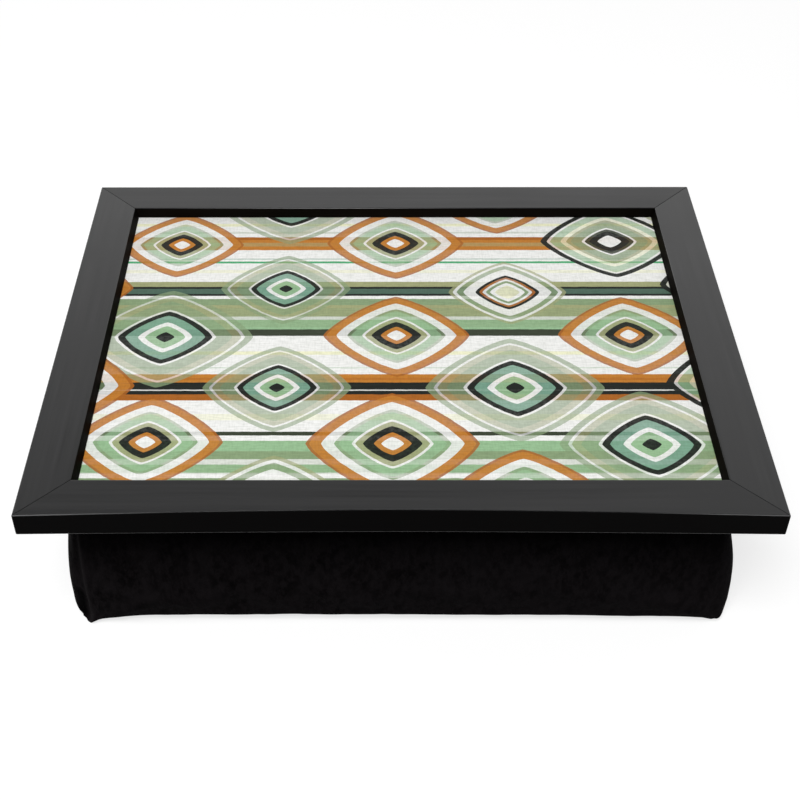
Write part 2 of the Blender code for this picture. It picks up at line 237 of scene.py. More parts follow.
class Nodes:
    """A node tree in the making, with a short call for each kind of node used here."""

    def __init__(self, tree):
        self.tree = tree

    def node(self, kind, feeds=None, **settings):
        made = self.tree.nodes.new(kind)
        for key, value in settings.items():
            setattr(made, key, value)
        for key, value in (feeds or {}).items():
            self.feed(made.inputs[key], value)
        return made

    def feed(self, socket, value):
        if isinstance(value, bpy.types.NodeSocket):
            self.tree.links.new(value, socket)
        elif isinstance(value, tuple) and len(value) == 3 and socket.type == "RGBA":
            socket.default_value = (*value, 1)
        else:
            socket.default_value = value

    def calc(self, operation, *values):
        return self.node("ShaderNodeMath", dict(enumerate(values)), operation=operation).outputs[0]

    def times(self, *values):
        return self.calc("MULTIPLY", *values)

    def scaled(self, value, factor, extra):
        return self.calc("MULTIPLY_ADD", value, factor, extra)

    def span(self, value, low, high, out_low=0.0, out_high=1.0):
        """A value that runs from low to high, fitted to another range and kept in it."""
        feeds = dict(enumerate((value, low, high, out_low, out_high)))
        return self.node("ShaderNodeMapRange", feeds, clamp=True).outputs[0]

    def parts(self, vector):
        return self.node("ShaderNodeSeparateXYZ", {0: vector}).outputs

    def vector(self, x=0.0, y=0.0, z=0.0):
        return self.node("ShaderNodeCombineXYZ", {0: x, 1: y, 2: z}).outputs[0]


class Look(Nodes):
    """A material in the making, laid on the object's own coordinates; gloss is its specular level."""

    def __init__(self, name, gloss=0.5, **values):
        self.material = bpy.data.materials.new(name)
        self.material.use_nodes = True
        super().__init__(self.material.node_tree)
        self.shader = self.tree.nodes["Principled BSDF"]
        self.place = self.node("ShaderNodeTexCoord").outputs["Object"]
        self.put(Specular_IOR_Level=gloss, **values)

    def put(self, **values):
        """Feed the shader's sockets, each named with underscores for its spaces."""
        for name, value in values.items():
            self.feed(self.shader.inputs[name.replace("_", " ")], value)

    def done(self, tone, roughness, normal):
        """The material with its colour, roughness and relief."""
        self.put(Base_Color=tone, Roughness=roughness, Normal=normal)
        return self.material

    def noise(self, scale, detail=2.0, roughness=0.5, stretch=None):
        vector = self.place
        if stretch:
            vector = self.node("ShaderNodeMapping", {"Vector": vector, "Scale": stretch}).outputs[0]
        feeds = {"Vector": vector, "Scale": scale, "Detail": detail, "Roughness": roughness}
        return self.node("ShaderNodeTexNoise", feeds).outputs[0]

    def blend(self, share, under, over, mode="MIX"):
        feeds = {0: share, 6: under, 7: over}
        return self.node("ShaderNodeMix", feeds, data_type="RGBA", blend_type=mode).outputs[2]

    def wash(self, tone, value, low, high, share, over, mode="MIX"):
        """A tone with another laid over it, more so as a value runs from low to high."""
        return self.blend(self.span(value, low, high, 0.0, share), tone, over, mode)

    def bands(self, value, stops):
        """Flat bands of colour: each stop is where it starts, its colour and its cover."""
        made = self.node("ShaderNodeValToRGB", {0: value})
        ramp = made.color_ramp
        ramp.interpolation = "CONSTANT"
        while len(ramp.elements) < len(stops):
            ramp.elements.new(1.0)
        for element, (start, colour, cover) in zip(ramp.elements, stops):
            element.position = start
            element.color = (*colour, cover)
        return made.outputs[0], made.outputs[1]

    def relief(self, height, depth, under=None):
        made = self.node("ShaderNodeBump", {"Height": height, "Distance": depth})
        if under is not None:
            self.feed(made.inputs["Normal"], under)
        return made.outputs[0]


def satin_foil(name, gloss, streaking, lengthwise):
    """Satin black foil on the moulding's show faces, faintly streaked along its length."""
    look = Look(name, gloss)
    streaks = look.noise(1.0, 3.0, 0.6, lengthwise)
    bands = look.noise(0.4, 2.0, 0.5, lengthwise)
    clouds = look.noise(18.0)
    tone = look.blend(look.span(streaks, 0.36, 0.64), (0.004, 0.004, 0.0043), (0.013, 0.013, 0.0134))
    tone = look.wash(tone, clouds, 0.4, 0.65, 1.0, (0.0075, 0.0075, 0.0078))
    tone = look.wash(tone, bands, 0.35, 0.65, streaking, (0.0125, 0.0125, 0.013))
    dust = look.noise(2600.0, 1.0)
    tone = look.wash(tone, dust, 0.72, 0.8, 0.25, (0.03, 0.03, 0.031))
    wear = look.span(bands, 0.35, 0.65, 0.3 - 0.1 * streaking, 0.3 + 0.1 * streaking)
    wear = look.scaled(clouds, 0.09, wear)
    peel = look.relief(look.noise(1400.0), 0.012 * MM)
    roughness = look.scaled(streaks, 0.05, wear)
    return look.done(tone, roughness, look.relief(streaks, 0.02 * MM, peel))


def painted_glint_arris(name, gloss, plain, glint_tone):
    """An outer arris of the foil, painted lighter near the mitred corners as a highlight."""
    look = Look(name, gloss)
    grain = look.noise(1200.0)
    nearness = [
        look.span(look.calc("ABSOLUTE", part), half - GLINT_LENGTH, half)
        for part, half in zip(look.parts(look.place), GLINT_CORNER)
    ]
    # Painted highlight: the arris is lighter near the corners.
    tone = look.blend(look.times(*nearness), plain, glint_tone)
    rubs = look.noise(1.0, 3.0, 0.6, (40, 40, 200))
    tone = look.wash(tone, rubs, 0.3, 0.65, 0.45, (0.3, 0.3, 0.3), "MULTIPLY")
    roughness = look.scaled(grain, 0.1, 0.48)
    return look.done(tone, roughness, look.relief(grain, 0.01 * MM))


def shaded_matt_black(name, dark, light, grainy):
    """Flat black on the moulding's upright faces and underside; on the upright faces its tone, darker
    than the foil, is painted shade.
    """
    look = Look(name, 0.02)
    grain = look.noise(900.0, 3.0, 0.6)
    # Painted shade: these tones are darker than the foil's.
    tone = look.blend(grain, look.blend(look.noise(30.0), dark, light), grainy)
    roughness = look.scaled(grain, 0.15, 0.55)
    return look.done(tone, roughness, look.relief(grain, 0.02 * MM))


# Stripes that cross the panel from left to right: where each starts, as a share of the depth
STRIPE_SHARES = (
    (0.0, PAPER), (0.03, SAGE), (0.045, PAPER), (0.06, MINT), (0.085, PAPER),
    (0.1, SAGE), (0.125, MINT), (0.155, PAPER), (0.17, OLIVE), (0.18, PAPER),
    (0.28, RUST), (0.297, INK), (0.337, AMBER), (0.365, PAPER), (0.43, LEMON),
    (0.445, PAPER), (0.5, OLIVE), (0.52, MINT), (0.555, PAPER), (0.57, KHAKI),
    (0.61, SAGE), (0.635, PAPER), (0.645, INK), (0.68, KHAKI), (0.7, PAPER),
    (0.775, BRIGHT_GREEN), (0.785, PAPER), (0.83, AMBER), (0.875, RUST), (0.885, PAPER),
    (0.93, LEMON), (0.945, PAPER),
)

# See-through stripes laid over the first ones: start share, ink and cover share
WASH_SHARES = (
    (0.0, LEMON, 0.0), (0.055, SAGE, 0.3), (0.115, PAPER, 0.0), (0.215, LEMON, 0.55),
    (0.235, PAPER, 0.0), (0.31, PAPER, 0.8), (0.313, INK, 0.0), (0.345, RUST, 0.5),
    (0.352, PAPER, 0.0), (0.385, MINT, 0.4), (0.389, PAPER, 0.0), (0.53, SAGE, 0.4),
    (0.6, PAPER, 0.0), (0.655, TEAL, 0.35), (0.672, PAPER, 0.0), (0.735, LEMON, 0.6),
    (0.75, PAPER, 0.0), (0.79, TEAL, 0.6), (0.796, PAPER, 0.0), (0.845, KHAKI, 0.5),
    (0.86, PAPER, 0.0), (0.9, SAGE, 0.35), (0.91, PAPER, 0.0),
)

# Nested bands of the lozenges, from the middle outward: start share, ink and cover share
LOZENGE_SHARES = (
    (
        (0.0, PAPER, 0.95), (0.16, INK, 1.0), (0.27, OLIVE, 0.95), (0.33, PAPER, 0.8),
        (0.37, SAGE, 0.8), (0.52, KHAKI, 0.75), (0.58, LEMON, 0.6), (0.66, MINT, 0.65),
        (0.8, PAPER, 0.6), (0.84, INK, 1.0), (0.93, PAPER, 0.0),
    ),
    (
        (0.0, PAPER, 0.95), (0.12, AMBER, 0.95), (0.2, INK, 1.0), (0.32, KHAKI, 0.85),
        (0.4, PAPER, 0.85), (0.44, MINT, 0.7), (0.58, SAGE, 0.5), (0.63, PAPER, 0.8),
        (0.77, AMBER, 0.95), (0.9, RUST, 0.9), (0.94, PAPER, 0.0),
    ),
    (
        (0.0, INK, 1.0), (0.1, MINT, 0.9), (0.22, PAPER, 0.9), (0.3, TEAL, 0.9),
        (0.44, INK, 1.0), (0.52, PAPER, 0.7), (0.56, SAGE, 0.65), (0.74, KHAKI, 0.55),
        (0.84, PAPER, 0.5), (0.88, SAGE, 0.65), (0.97, PAPER, 0.0),
    ),
    (
        (0.0, LEMON, 0.8), (0.18, PAPER, 0.95), (0.26, SAGE, 0.9), (0.32, PAPER, 0.8),
        (0.37, RUST, 0.9), (0.42, INK, 1.0), (0.48, PAPER, 0.85), (0.66, SAGE, 0.7),
        (0.76, PAPER, 0.8), (0.82, KHAKI, 0.7), (0.88, PAPER, 0.0),
    ),
)
LOZENGE_PITCH = (150 * MM, 104 * MM)
LOZENGE_HALF = (54 * MM, 47 * MM)
LOZENGE_SOFTNESS = 1.28
PRINT_DEPTH = 294 * MM
# How far the ink's edges tremble, how far a lozenge shifts, and the range of its sizes
INK_TREMBLE = 0.7 * MM
LOZENGE_SHIFT = 5 * MM
LOZENGE_SIZES = (0.9, 1.18)
LATTICE_SEEDS = (3.0, 8.0)


def lozenge_lattice(look, x, y, number):
    """Cell-centred places and chance numbers of one lattice; the second lies between the first."""
    steps = []
    places = []
    for value, pitch in zip((x, y), LOZENGE_PITCH):
        cells = look.calc("DIVIDE", look.calc("SUBTRACT", value, number * pitch / 2), pitch)
        steps.append(look.calc("ROUND", cells))
        places.append(look.times(look.calc("SUBTRACT", cells, steps[-1]), pitch))
    feeds = {"Vector": look.vector(*steps, LATTICE_SEEDS[number])}
    chance = look.node("ShaderNodeTexWhiteNoise", feeds, noise_dimensions="3D")
    return places, look.node("ShaderNodeSeparateColor", {0: chance.outputs["Color"]}).outputs


def lozenge_reach(look, places, chances):
    """How far out a point is in its lozenge: 0 in the middle, 1 at the rim."""
    powers = []
    for place, half, chance in zip(places, LOZENGE_HALF, chances):
        shift = look.span(chance, 0.0, 1.0, -LOZENGE_SHIFT, LOZENGE_SHIFT)
        aside = look.calc("ABSOLUTE", look.calc("ADD", place, shift))
        powers.append(look.calc("POWER", look.calc("DIVIDE", aside, half), LOZENGE_SOFTNESS))
    reach = look.calc("POWER", look.calc("ADD", *powers), 1 / LOZENGE_SOFTNESS)
    return look.times(reach, look.span(chances[2], 0.0, 1.0, *LOZENGE_SIZES))


def stripes(look, y):
    """The print's stripes, with see-through ones laid over them."""
    share = look.calc("ADD", look.calc("DIVIDE", y, PRINT_DEPTH), 0.5)
    tone, _ = look.bands(share, [(start, ink, 1.0) for start, ink in STRIPE_SHARES])
    over, cover = look.bands(share, WASH_SHARES)
    return look.blend(cover, tone, over)


def lozenges(look, tone, dry, x, y, number):
    """One lattice of lozenges over a tone, each with its bands picked by its own chance."""
    places, chances = lozenge_lattice(look, x, y, number)
    reach = lozenge_reach(look, places, chances)
    inks, covers = look.bands(reach, LOZENGE_SHARES[0])
    for kind, shares in enumerate(LOZENGE_SHARES[1:], start=1):
        pick = look.calc("GREATER_THAN", chances[1], kind / len(LOZENGE_SHARES))
        other_inks, other_covers = look.bands(reach, shares)
        inks = look.blend(pick, inks, other_inks)
        covers = look.blend(pick, covers, other_covers)
    return look.blend(look.times(covers, dry), tone, inks)


def printed_laminate():
    """A generic print of nested lozenges over stripes, under a linen-embossed skin."""
    look = Look("printed_laminate", 0.12)
    shake = look.times(look.calc("SUBTRACT", look.noise(160.0), 0.5), INK_TREMBLE)
    x, y = [look.calc("ADD", part, shake) for part in look.parts(look.place)[:2]]
    tone = stripes(look, y)
    dry = look.span(look.noise(420.0, 4.0, 0.7), 0.35, 0.62, 0.95, 1.0)
    for number in range(len(LATTICE_SEEDS)):
        tone = lozenges(look, tone, dry, x, y, number)
    picks = look.noise(1.0, 2.0, 0.6, (140, 820, 1))
    tone = look.wash(tone, picks, 0.4, 0.66, 0.5, (0.72, 0.73, 0.71), "MULTIPLY")
    ends = look.noise(1.0, 2.0, 0.6, (900, 160, 1))
    tone = look.wash(tone, ends, 0.42, 0.66, 0.35, (0.74, 0.75, 0.73), "MULTIPLY")
    blotch = look.noise(60.0, 3.0, 0.6)
    tone = look.wash(tone, blotch, 0.4, 0.7, 0.1, (0.8, 0.8, 0.74), "MULTIPLY")
    weft = look.noise(1.0, 2.0, 0.5, (45, 560, 1))
    warp = look.noise(1.0, 2.0, 0.5, (560, 60, 1))
    roughness = look.scaled(weft, 0.16, 0.42)
    return look.done(tone, roughness, look.relief(look.scaled(warp, 0.45, weft), 0.16 * MM))


def hardboard():
    """Pressed wood fibre: brown, flecked, with a screen-marked back."""
    look = Look("hardboard", 0.25)
    fibres = look.noise(1.0, 4.0, 0.65, (260, 900, 260))
    tone = look.blend(fibres, (0.12, 0.062, 0.03), (0.26, 0.15, 0.08))
    tone = look.wash(tone, look.noise(14.0, 3.0), 0.3, 0.7, 0.45, (0.15, 0.085, 0.042))
    tone = look.wash(tone, look.noise(900.0), 0.62, 0.72, 0.5, (0.36, 0.24, 0.14))
    feeds = {"Vector": look.place, "Scale": 620.0, "Randomness": 0.12}
    screen = look.node("ShaderNodeTexVoronoi", feeds, feature="F1", distance="CHEBYCHEV")
    rough = look.relief(fibres, 0.15 * MM)
    roughness = look.scaled(fibres, 0.2, 0.65)
    return look.done(tone, roughness, look.relief(screen.outputs["Distance"], 0.25 * MM, rough))


def fastener_steel():
    """Stamped strip steel with rolling lines, dull in patches."""
    look = Look("fastener_steel", Metallic=1.0)
    lines = look.noise(1.0, 3.0, 0.6, (300, 300, 2600))
    dull = look.noise(500.0, 3.0, 0.6)
    tone = look.blend(lines, (0.34, 0.34, 0.35), (0.58, 0.58, 0.59))
    tone = look.wash(tone, dull, 0.5, 0.75, 0.6, (0.19, 0.17, 0.15))
    roughness = look.span(dull, 0.3, 0.7, 0.24, 0.5)
    return look.done(tone, roughness, look.relief(lines, 0.02 * MM))


def brushed_cloth():
    """Black cloth with a short brushed nap that lies in soft patches, with painted shade high on the
    wall and in the fold beside the upright seam.
    """
    sheen = {"Sheen_Weight": 0.003, "Sheen_Roughness": 0.45, "Sheen_Tint": (0.85, 0.78, 0.85)}
    look = Look("brushed_cloth", 0.015, **sheen)
    nap = look.noise(1.0, 3.0, 0.7, (1500, 1500, 700))
    brushed = look.noise(1.0, 4.0, 0.7, (260, 260, 150))
    patch = look.noise(1.0, 3.0, 0.6, (80, 80, 50))
    tone = look.blend(nap, (0.0049, 0.0037, 0.0043), (0.015, 0.0127, 0.014))
    tone = look.wash(tone, brushed, 0.42, 0.58, 0.85, (0.0018, 0.0014, 0.0016))
    tone = look.wash(tone, patch, 0.4, 0.66, 0.5, (0.0165, 0.014, 0.0155))
    tone = look.wash(tone, look.noise(14.0), 0.4, 0.7, 0.3, (0.0125, 0.0107, 0.012))
    # Painted shade: the wall darkens from its foot up to the top seam, where the frame overhangs it,
    # and this fades out over the crowned top.
    height = look.parts(look.place)[2]
    shade_rise = look.span(height, 0.0, TOP_SEAM)
    on_wall = look.span(height, TOP_SEAM, CUSHION_TOP, 1.0, 0.0)
    tone = look.blend(look.times(shade_rise, on_wall), tone, (0.22, 0.22, 0.22), "MULTIPLY")
    seam_crest, fold_shade = [
        look.node("ShaderNodeAttribute", attribute_name=name).outputs["Fac"]
        for name in ("seam_crest", "fold_shade")
    ]
    # The seam crests are painted lighter: partly rubbed nap, partly a painted highlight on the raised
    # ridge.
    tone = look.blend(look.times(seam_crest, 0.55), tone, (0.021, 0.019, 0.02))
    # Painted shade: the fold beside the upright seam is made near black.
    tone = look.blend(fold_shade, tone, (0.0004, 0.0003, 0.0004))
    lint = look.noise(3200.0, 1.0)
    tone = look.wash(tone, lint, 0.76, 0.82, 0.25, (0.03, 0.028, 0.03))
    roughness = look.span(patch, 0.3, 0.7, 0.86, 0.98)
    return look.done(tone, roughness, look.relief(brushed, 0.5 * MM, look.relief(nap, 0.22 * MM)))


def woven_tape():
    """Black woven tape: ribs across it and a tight selvedge."""
    look = Look("woven_tape", 0.25, Sheen_Weight=0.05)
    feeds = {"Vector": look.place, "Scale": 420.0, "Distortion": 1.5}
    wave = look.node("ShaderNodeTexWave", feeds, wave_type="BANDS", bands_direction="DIAGONAL")
    ribs = wave.outputs[1]
    fuzz = look.noise(2400.0)
    weave = look.times(ribs, fuzz)
    tone = look.blend(weave, (0.006, 0.006, 0.0065), (0.022, 0.022, 0.023))
    roughness = look.scaled(fuzz, 0.2, 0.7)
    return look.done(tone, roughness, look.relief(ribs, 0.12 * MM))


def thread(name, low, high, roughness, gloss):
    """Nylon or polyester thread, slightly uneven along its length."""
    look = Look(name, gloss)
    twist = look.noise(3000.0)
    tone = look.blend(twist, low, high)
    roughness = look.scaled(twist, 0.15, roughness)
    return look.done(tone, roughness, look.relief(twist, 0.03 * MM))


def link(name, data, materials=()):
    """A new piece of the scene, with its place in its mesh."""
    obj = bpy.data.objects.new(name, data)
    for material in materials:
        data.materials.append(material)
    bpy.context.scene.collection.objects.link(obj)
    return obj


def meshed(name, bm):
    """The mesh of a finished bmesh."""
    mesh = bpy.data.meshes.new(name)
    bm.to_mesh(mesh)
    bm.free()
    return mesh


def spin(degrees, axis):
    """A turn about an axis through the origin."""
    return Matrix.Rotation(math.radians(degrees), 4, axis)


def evaluated(obj):
    """An object as its modifiers make it."""
    return obj.evaluated_get(bpy.context.evaluated_depsgraph_get())


def bake(obj):
    """Work out an object's modifiers into its mesh."""
    mesh = bpy.data.meshes.new_from_object(evaluated(obj))
    obj.modifiers.clear()
    old = obj.data
    obj.data = mesh
    bpy.data.meshes.remove(old)


def arc(centre, radius, start_degrees):
    """Points of a quarter circle, with a guard point on the flat before and after it."""
    turn = math.radians(start_degrees)
    before = Vector((math.sin(turn), -math.cos(turn))) * FLAT_GUARD
    start = Vector(centre) + radius * Vector((math.cos(turn), math.sin(turn)))
    points = [start + before]
    for step in range(ROUND_STEPS + 1):
        angle = turn + math.pi / 2 * step / ROUND_STEPS
        points.append(Vector(centre) + radius * Vector((math.cos(angle), math.sin(angle))))
    end = turn + math.pi / 2
    points.append(points[-1] + Vector((-math.sin(end), math.cos(end))) * FLAT_GUARD)
    return points


def moulding_section(width, height, hollow_share):
    """The moulding's section as (inset from the outer face, height) points."""
    low = FRONT_HOLLOW_BOTTOM * hollow_share
    high = FRONT_HOLLOW_TOP * hollow_share
    rebate = width - LIP_WIDTH
    lip = height - LIP_THICKNESS
    points = arc((LOWER_ROUND + low, LOWER_ROUND), LOWER_ROUND, 180)
    points += [Vector((rebate, 0)), Vector((rebate, lip))]
    foot = width + LIP_SLOPE
    points += [Vector((foot - LOWER_LIP_ROUND, lip)), Vector((foot, lip + LOWER_LIP_ROUND))]
    points += arc((width - INNER_ROUND, height - INNER_ROUND), INNER_ROUND, 0)
    points += arc((UPPER_ROUND + high, height - UPPER_ROUND), UPPER_ROUND, 90)
    return points


def shrunk(points, distance):
    """The section drawn in by a small distance, for the bevel at a mitre."""
    moved = []
    for index, point in enumerate(points):
        before = (point - points[index - 1]).normalized()
        after = (points[(index + 1) % len(points)] - point).normalized()
        inward = Vector((-before.y - after.y, before.x + after.x)).normalized()
        moved.append(point + inward * distance)
    return moved


def moulding_rings(length, width, height, hollow):
    """Sections along a rail from mitre to mitre, as lists of points about its middle."""
    stations = HOLLOW_STATIONS if hollow else 2
    ends = length / 2 - MITRE_GAP / 2 / math.sin(math.pi / 4)
    rings = []
    for station in range(stations + 1):
        share = 2 * station / stations - 1
        section = moulding_section(width, height, hollow * (1 - abs(share) ** HOLLOW_POWER))
        cut_back = MITRE_BEVEL if abs(share) == 1 else 0
        rings.append([(share * (ends - p.x - cut_back), p.x, p.y) for p in section])
        if cut_back:
            bevelled = shrunk(section, MITRE_BEVEL)
            ring = [(share * (ends - p.x), p.x, p.y) for p in bevelled]
            rings.insert(0 if share < 0 else len(rings), ring)
    return rings


def loft(rings):
    """A closed body through rings of points, with flat ends."""
    bm = bmesh.new()
    loops = [[bm.verts.new(point) for point in ring] for ring in rings]
    for loop, following in zip(loops, loops[1:]):
        for index, vertex in enumerate(loop):
            bm.faces.new((vertex, loop[index - 1], following[index - 1], following[index]))
    bm.faces.new(loops[0])
    bm.faces.new(loops[-1])
    bmesh.ops.recalc_face_normals(bm, faces=bm.faces)
    return bm


def swollen(node, underside):
    """A fastener's own shape, a little larger, as the cutter of its slot."""
    bm = bmesh.new()
    bm.from_mesh(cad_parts[node].data)
    bmesh.ops.remove_doubles(bm, verts=bm.verts, dist=WELD)
    bm.normal_update()
    lowest = min(vertex.co.z for vertex in bm.verts)
    for vertex in bm.verts:
        at_foot = vertex.co.z < lowest + SLOT_CLEARANCE
        vertex.co += vertex.normal * SLOT_CLEARANCE * math.sqrt(3)
        if at_foot and underside is not None:
            vertex.co.z = underside - SLOT_DEPTH
    return link(node + "_slot", meshed(node + "_slot", bm))


def moulding_finish(face, width):
    """A face's finish, as its place in FINISHES."""
    slope = face.normal.z
    inset = face.calc_center_median().y
    upright = abs(slope) < WALL_SLOPE
    name = "edge" if upright or slope < -UNDERSIDE_SLOPE else "foil"
    if inset > width and upright:
        name = "sight edge"
    if inset < width / 2 and abs(face.normal.x) < END_SLOPE:
        low, high = ARRIS_SLOPES
        if low < slope < high:
            name = "upper arris"
        elif low < -slope < high:
            name = "lower arris"
    return FINISHES.index(name)


def make_moulding(side, turn, finishes):
    """One length of moulding with its mitred ends and the slots of its fasteners."""
    low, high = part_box("right_rail")
    width = high.x - low.x - LIP_SLOPE
    halves = (high.x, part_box("back_rail")[1].y)
    along, outer = halves if side in LONG_SIDES else halves[::-1]
    bm = loft(moulding_rings(2 * along, width, high.z - low.z, int(side == "front")))
    for face in bm.faces:
        face.material_index = moulding_finish(face, width)
        face.smooth = True
    place = spin(turn, "Z") @ Matrix.Translation((0, -outer, low.z))
    bmesh.ops.transform(bm, matrix=place, verts=bm.verts)
    mesh = meshed(side + "_moulding", bm)
    mesh.set_sharp_from_angle(angle=math.radians(SHARP_DEGREES))
    obj = link(side + "_moulding", mesh, finishes)
    cutters = []
    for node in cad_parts:
        if node.startswith("mitre_nail") and side in node:
            cutters.append(swollen(node, low.z))
        elif node.startswith("framer_point_" + side):
            cutters.append(swollen(node, None))
    for cutter in cutters:
        obj.modifiers.new(cutter.name, "BOOLEAN").object = cutter
    bake(obj)
    for cutter in cutters:
        bpy.data.objects.remove(cutter)
    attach(obj, "tray")
    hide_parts(side + "_rail")


def make_frame():
    """The four lengths of moulding, and the finishes of the panel and the fasteners."""
    shared = {
        "edge": shaded_matt_black("matt_edge", *EDGE_SHADE_TONES),
        "sight edge": shaded_matt_black("sight_edge", *SIGHT_EDGE_SHADE_TONES),
        "upper arris": painted_glint_arris("upper_arris", *UPPER_ARRIS),
        "lower arris": painted_glint_arris("lower_arris", *LOWER_ARRIS),
    }
    long_foil = satin_foil(*LONG_FOIL)
    short_foil = satin_foil(*SHORT_FOIL)
    for number, side in enumerate(SIDES):
        shared["foil"] = long_foil if side in LONG_SIDES else short_foil
        make_moulding(side, 90 * number, [shared[name] for name in FINISHES])
    steel = fastener_steel()
    finishes = {"panel_laminate": printed_laminate(), "panel_board": hardboard()}
    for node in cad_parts:
        if node.startswith(("mitre_nail", "framer_point")):
            finishes[node] = steel
    for node, material in finishes.items():
        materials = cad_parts[node].data.materials
        materials.clear()
        materials.append(material)


def between(start, end, share):
    """A value on its way from start to end."""
    return start * (1 - share) + end * share


def hump(distance, width):
    """1 in the middle, and next to nothing two widths away."""
    return math.exp(-((distance / width) ** 2))


def bulge_share(h):
    """How much of its bulge the wall shows at a height share: most just above the base seam."""
    return max(0.0, math.sin(math.pi * h ** BULGE_POWER)) ** BULGE_FULLNESS


def at_seam_corner(s, t):
    """The wall's ends are sewn together at the front left corner."""
    return s < 0 and t < 0


def corner_radius(s, t, h):
    """Corners are tight at the seams and rounder between them."""
    middle = SEAM_CORNER_RADIUS if at_seam_corner(s, t) else PLAIN_CORNER_RADIUS
    round_share = math.sin(math.pi * h ** BULGE_POWER)
    return PANEL_CORNER_RADIUS + (middle - PANEL_CORNER_RADIUS) * round_share


def wall_point(along, across, halves, bulges, shares, s, t, h):
    """Place on one wall: its distance along the wall and out from the cushion's middle."""
    radius = corner_radius(s, t, h)
    half = halves[0] + bulges[0] * shares[0]
    sharpness = SEAM_CORNER_SHARPNESS if at_seam_corner(s, t) else CORNER_SHARPNESS
    out = halves[1] + bulges[1] * (1 - (1 - shares[1]) * abs(along) ** sharpness)
    distance = abs(along) * half
    straight = half - radius
    if distance > straight:
        angle = (distance - straight) / radius * math.pi / 4
        distance = straight + radius * math.sin(angle)
        out -= radius * (1 - math.cos(angle))
    return math.copysign(distance, along), out * across


def bag_point(s, t, h):
    """Place of a cloth point, from its shares of half width, half depth and height."""
    halves = [between(base, top, h) / 2 for base, top in zip(BASE_PANEL, TOP_PANEL)]
    rim = max(abs(s), abs(t), 1e-9)
    edge_s = s / rim
    edge_t = t / rim
    side = math.copysign(1, edge_s)
    face = math.copysign(1, edge_t)
    bulges = [bulge * bulge_share(h) for bulge in (SIDE_BULGES[side], FRONT_BULGE)]
    shares = PLAIN_CORNER_SHARES
    if at_seam_corner(s, t):
        shares = (between(*SEAM_SET_BACK, h), SEAM_CORNER_SHARE)
    if abs(edge_t) >= abs(edge_s):
        x, y = wall_point(edge_s, face, halves, bulges, shares, edge_s, face, h)
    else:
        y, x = wall_point(edge_t, side, halves[::-1], bulges[::-1], shares[::-1], side, edge_t, h)
    x *= rim
    y *= rim
    z = between(BASE_SEAM, TOP_SEAM, h)
    crown = (1 - abs(s) ** CROWN_FLATNESS) * (1 - abs(t) ** CROWN_FLATNESS)
    if h == 1:
        z += (CUSHION_TOP - TOP_SEAM) * crown
    if h == 0:
        z -= BASE_SEAM * crown
    low = math.exp(-h / EAR_FADE)
    reach = SEAM_EAR_REACH if at_seam_corner(s, t) else EAR_REACH
    x += reach[0] * abs(s) ** EAR_SHARPNESS * abs(t) ** EAR_SPREAD * low * side
    y += reach[1] * abs(t) ** EAR_SHARPNESS * abs(s) ** EAR_SPREAD * low * face
    z -= EAR_DROP * abs(s * t) ** EAR_SHARPNESS * low
    if t < 0:
        for middle, spread, back in FOOT_WAVES:
            y += back * hump(s - middle, spread) * abs(t) ** EAR_SPREAD * low
    x += between(BASE_LEAN, TOP_LEAN, h)
    return Vector((x, y, z))


def bag_shell():
    """The cushion as a closed box of even quads, with its seams marked by a crease value."""
    counts = [round(size / CUSHION_MESH / 2) * 2 for size in (*TOP_PANEL, TOP_SEAM)]
    bm = bmesh.new()
    seam = bm.verts.layers.float.new("seam")
    crease = bm.edges.layers.float.new("crease_edge")
    found = {}

    def vertex(i, j, k):
        key = (i, j, k)
        if key not in found:
            s = 2 * i / counts[0] - 1
            t = 2 * j / counts[1] - 1
            h = (k / counts[2]) ** LAYER_POWER
            made = bm.verts.new(bag_point(s, t, h))
            rim = abs(s) == 1 or abs(t) == 1
            joint = s == -1 and t == -1
            made[seam] = 1.0 if joint or (rim and k in (0, counts[2])) else 0.0
            found[key] = made
        return found[key]

    for axis in range(3):
        first, second = [other for other in range(3) if other != axis]
        cells = (range(counts[first]), range(counts[second]))
        for level, a, b in product((0, counts[axis]), *cells):
            corners = []
            for step_a, step_b in ((0, 0), (1, 0), (1, 1), (0, 1)):
                key = [0, 0, 0]
                key[axis], key[first], key[second] = level, a + step_a, b + step_b
                corners.append(vertex(*key))
            bm.faces.new(corners)
    for edge in bm.edges:
        if all(end[seam] == 1 for end in edge.verts):
            edge[crease] = SEAM_CREASE
    bmesh.ops.recalc_face_normals(bm, faces=bm.faces)
    return bm


def blow_up(obj):
    """Let simulated cloth swell between its seams, each point by a limited distance."""
    scene = bpy.context.scene
    start = [vertex.co.copy() for vertex in obj.data.vertices]
    held = obj.vertex_groups.new(name="held")
    for vertex, value in zip(obj.data.vertices, obj.data.attributes["seam"].data):
        held.add([vertex.index], 1.0 if value.value > 0.5 else 0.0, "REPLACE")
    modifier = obj.modifiers.new("cloth", "CLOTH")
    for key, value in CLOTH_SETTINGS.items():
        setattr(modifier.settings, key, value)
    modifier.settings.vertex_group_mass = held.name
    modifier.settings.effector_weights.gravity = 0
    modifier.collision_settings.use_collision = False
    modifier.point_cache.frame_start = 1
    modifier.point_cache.frame_end = CLOTH_FRAMES
    for number in range(1, CLOTH_FRAMES + 1):
        scene.frame_set(number)
        evaluated(obj)
    blown = evaluated(obj)
    ends = [vertex.co.copy() for vertex in blown.to_mesh().vertices]
    blown.to_mesh_clear()
    obj.modifiers.remove(modifier)
    obj.vertex_groups.clear()
    scene.frame_set(1)
    outward = [vertex.normal.copy() for vertex in obj.data.vertices]
    for vertex, first, last, normal in zip(obj.data.vertices, start, ends, outward):
        move = last - first
        move -= normal * min(0.0, move.dot(normal))
        if move.length > SWELL_LIMIT:
            move *= SWELL_LIMIT / move.length
        vertex.co = first + move


